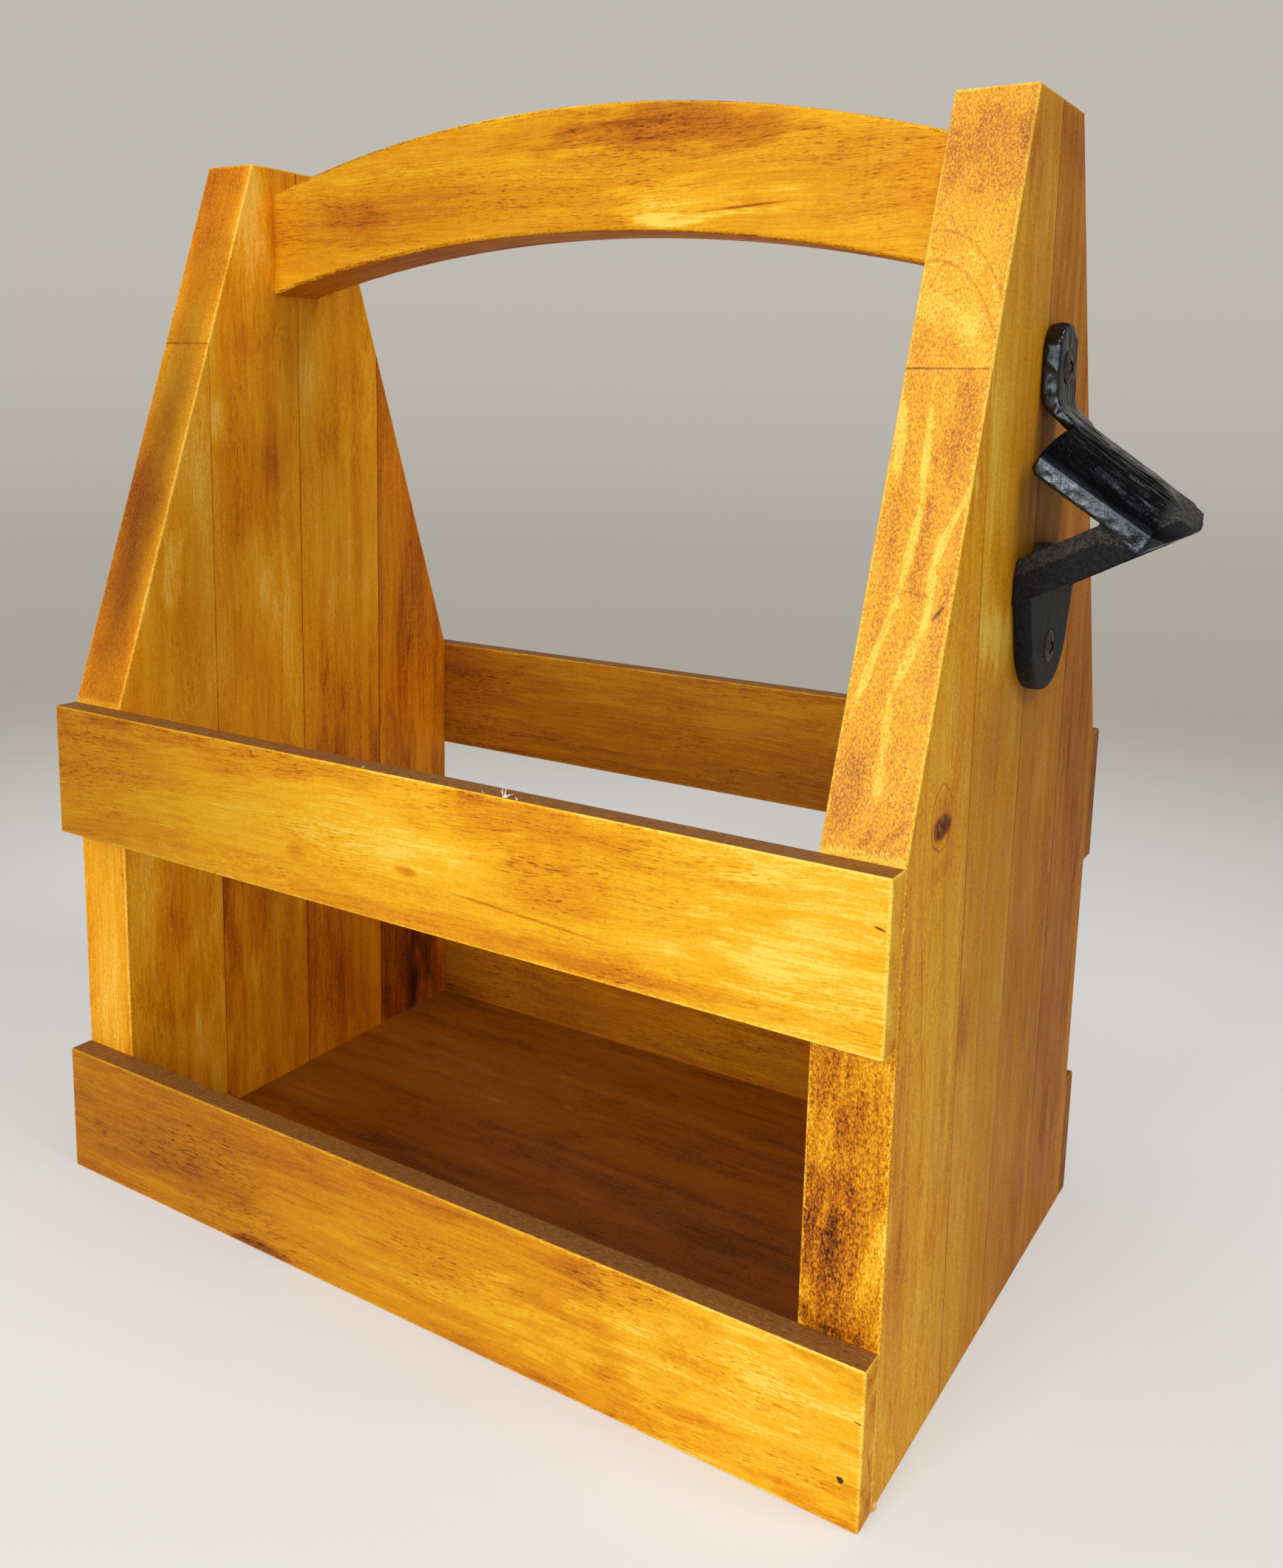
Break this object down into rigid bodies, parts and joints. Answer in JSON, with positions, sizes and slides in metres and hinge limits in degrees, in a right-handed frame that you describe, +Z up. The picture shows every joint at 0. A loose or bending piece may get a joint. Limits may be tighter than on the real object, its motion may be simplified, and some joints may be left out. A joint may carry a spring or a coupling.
{
  "type": "bottle caddy",
  "caption": "Stained wooden bottle caddy with tapered end panels, slatted sides, an arched carry handle and a black cast iron bottle opener screwed to one end.",
  "frame": {"origin": "on the ground, at the centre of the wooden body's footprint", "axes": "+X along the slats towards the end with the bottle opener, +Y towards the back, +Z up"},
  "size_m": [0.2922, 0.1604, 0.3112],
  "materials": {
    "stained_wood": "satin",
    "floor_plywood": "satin",
    "dowel_wood": "matte",
    "brad_steel": "satin",
    "black_iron": "gloss",
    "black_screws": "satin"
  },
  "bodies": {
    "root": {"left_front_stave": "stained_wood", "left_front_middle_stave": "stained_wood", "left_rear_middle_stave": "stained_wood", "left_rear_stave": "stained_wood", "right_front_stave": "stained_wood", "right_front_middle_stave": "stained_wood", "right_rear_middle_stave": "stained_wood", "right_rear_stave": "stained_wood", "front_lower_slat": "stained_wood", "front_upper_slat": "stained_wood", "back_lower_slat": "stained_wood", "back_upper_slat": "stained_wood", "carry_handle": "stained_wood", "floor_board": "floor_plywood", "handle_dowels": "dowel_wood", "front_slat_brads": "brad_steel", "back_slat_brads": "brad_steel", "floor_brads": "brad_steel", "opener_casting": "black_iron", "opener_screws": "black_screws"}
  },
  "joints": []
}
